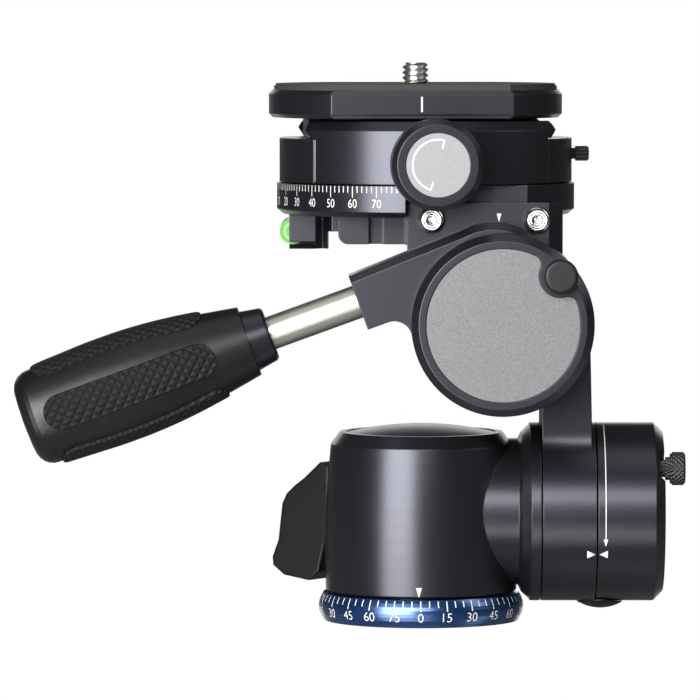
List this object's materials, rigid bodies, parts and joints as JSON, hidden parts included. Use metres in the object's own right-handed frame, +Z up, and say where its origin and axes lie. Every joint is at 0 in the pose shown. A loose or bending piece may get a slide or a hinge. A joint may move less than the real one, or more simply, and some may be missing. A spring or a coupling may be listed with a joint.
{
  "type": "four-way tripod head",
  "caption": "Tripod head with lower pan, side tilt, fore tilt and upper pan axes, knob locks with pull pins, a padded handle, and a dovetail clamp that holds a quick release plate.",
  "frame": {"origin": "centre of the tripod socket's mouth, on the lower pan axis, in the plane of the base", "axes": "+Z up along the lower pan axis, -Y towards the side with the front lock knob, the handle runs towards -X and the side lock knob is at +X"},
  "size_m": [0.1557, 0.0908, 0.1311],
  "materials": {
    "black_anodised": "satin black anodised",
    "blue_anodised": "satin blue anodised",
    "black_cast": "matte black coated",
    "silver_cap": "blasted silver",
    "grey_speckle": "speckled grey",
    "steel": "turned",
    "dark_steel": "blackened, knurled",
    "bright_steel": "bright",
    "brushed_steel": "brushed along its length",
    "bronze": "plain",
    "bearing_plastic": "plain",
    "grip_plastic": "satin black",
    "grip_rubber": "matte, textured",
    "green_acrylic": "clear"
  },
  "bodies": {
    "base": {"foot_plate": "black_anodised", "base_dial_ring": "blue_anodised", "tripod_socket": "steel", "pan_spindle": "steel", "foot_screws": "steel", "spindle_washer": "steel", "spindle_nut": "steel"},
    "housing": {"main_body": "black_anodised", "body_cap": "black_anodised", "brake_shoe": "bronze", "axle_retaining_pin": "steel"},
    "pan_lock": {"pan_lock_lever": "black_cast", "pan_lock_screw": "steel"},
    "hub": {"hub_arm": "black_anodised", "side_axle": "steel", "hub_friction_ring": "bearing_plastic", "tilt_axle": "steel", "tilt_friction_ring": "bearing_plastic", "axle_rear_cap": "black_anodised", "rim_dog": "black_cast"},
    "side_knob": {"side_lock_knob": "black_anodised", "side_pin_spring": "steel"},
    "side_pin": {"side_pull_pin": "dark_steel"},
    "tilt": {"tilt_bracket": "black_anodised", "cheek_screws": "bright_steel", "pan_platform": "black_anodised", "top_bearing_ring": "bearing_plastic", "level_block": "black_anodised", "level_vial": "green_acrylic", "top_brake_pad": "bronze"},
    "front_knob": {"front_lock_knob": "black_anodised", "front_knob_plate": "grey_speckle", "front_pin_spring": "steel"},
    "front_pin": {"front_pull_pin": "black_cast"},
    "handle": {"handle_rod": "brushed_steel", "handle_collar": "black_anodised", "handle_grip": "grip_plastic", "grip_pads": "grip_rubber"},
    "top_lock": {"top_lock_screw": "steel", "top_pan_lock_knob": "black_anodised"},
    "clamp": {"clamp_body": "black_anodised", "top_pan_spindle": "steel", "jaw_guide_pins": "steel", "release_button_spring": "steel"},
    "jaw": {"clamp_jaw": "black_anodised"},
    "clamp_knob": {"clamp_screw": "steel", "clamp_knob": "black_anodised", "clamp_knob_cap": "silver_cap"},
    "release_button": {"plate_release_button": "black_cast"},
    "plate": {"quick_plate": "black_anodised", "plate_pad": "grip_rubber"},
    "camera_screw": {"camera_screw": "bright_steel"}
  },
  "joints": [
    {"name": "base_pan", "type": "hinge", "parent": "base", "child": "housing", "pos_m": [0, 0, 0.02], "axis": [0, 0, 1], "continuous": true},
    {"name": "pan_lock_turn", "type": "hinge", "parent": "housing", "child": "pan_lock", "pos_m": [0, 0, 0.022], "axis": [-0.8387, 0.5446, 0], "range_deg": [0, 90]},
    {"name": "side_tilt", "type": "hinge", "parent": "housing", "child": "hub", "pos_m": [0.02785, 0, 0.0254], "axis": [1, 0, 0], "range_deg": [-90, 30]},
    {"name": "side_knob_turn", "type": "hinge", "parent": "hub", "child": "side_knob", "pos_m": [0.05, 0, 0.0254], "axis": [1, 0, 0], "range_deg": [-60, 0]},
    {"name": "side_pin_pull", "type": "slide", "parent": "side_knob", "child": "side_pin", "axis": [1, 0, 0], "range_m": [0, 0.002], "stiffness_N_per_m": 600},
    {"name": "fore_tilt", "type": "hinge", "parent": "hub", "child": "tilt", "pos_m": [0.0183, -0.02, 0.0713], "axis": [0, 1, 0], "range_deg": [-30, 90]},
    {"name": "front_knob_turn", "type": "hinge", "parent": "hub", "child": "front_knob", "pos_m": [0.0183, -0.038, 0.0713], "axis": [0, 1, 0], "range_deg": [-60, 0]},
    {"name": "front_pin_pull", "type": "slide", "parent": "front_knob", "child": "front_pin", "axis": [0, -1, 0], "range_m": [0, 0.002], "stiffness_N_per_m": 600},
    {"name": "handle_twist", "type": "hinge", "parent": "tilt", "child": "handle", "pos_m": [0.01283, -0.0284, 0.08633], "axis": [-0.9397, 0, -0.342], "range_deg": [-120, 0]},
    {"name": "top_lock_turn", "type": "hinge", "parent": "tilt", "child": "top_lock", "pos_m": [0.001, 0.04, 0.0924], "axis": [0, 1, 0], "range_deg": [0, 90]},
    {"name": "top_pan", "type": "hinge", "parent": "tilt", "child": "clamp", "pos_m": [0.001, 0, 0.1], "axis": [0, 0, 1], "range_deg": [-300, 20]},
    {"name": "jaw_slide", "type": "slide", "parent": "clamp", "child": "jaw", "axis": [0.0523, -0.9986, 0], "range_m": [0, 0.003]},
    {"name": "clamp_knob_turn", "type": "hinge", "parent": "jaw", "child": "clamp_knob", "pos_m": [0.00309, -0.03995, 0.1081], "axis": [0.0523, -0.9986, 0], "range_deg": [0, 1080]},
    {"name": "release_press", "type": "slide", "parent": "clamp", "child": "release_button", "axis": [-0.9986, -0.0523, 0], "range_m": [0, 0.0015], "stiffness_N_per_m": 600},
    {"name": "plate_slide", "type": "slide", "parent": "clamp", "child": "plate", "axis": [0.9986, 0.0523, 0], "range_m": [-0.02, 0.02]},
    {"name": "camera_screw_turn", "type": "hinge", "parent": "plate", "child": "camera_screw", "pos_m": [-0.0014, -0.00013, 0.125], "axis": [0, 0, 1], "continuous": true}
  ],
  "couplings": [
    {"joint": "clamp_knob_turn", "follows": "jaw_slide", "rad_per_m": 6283}
  ]
}
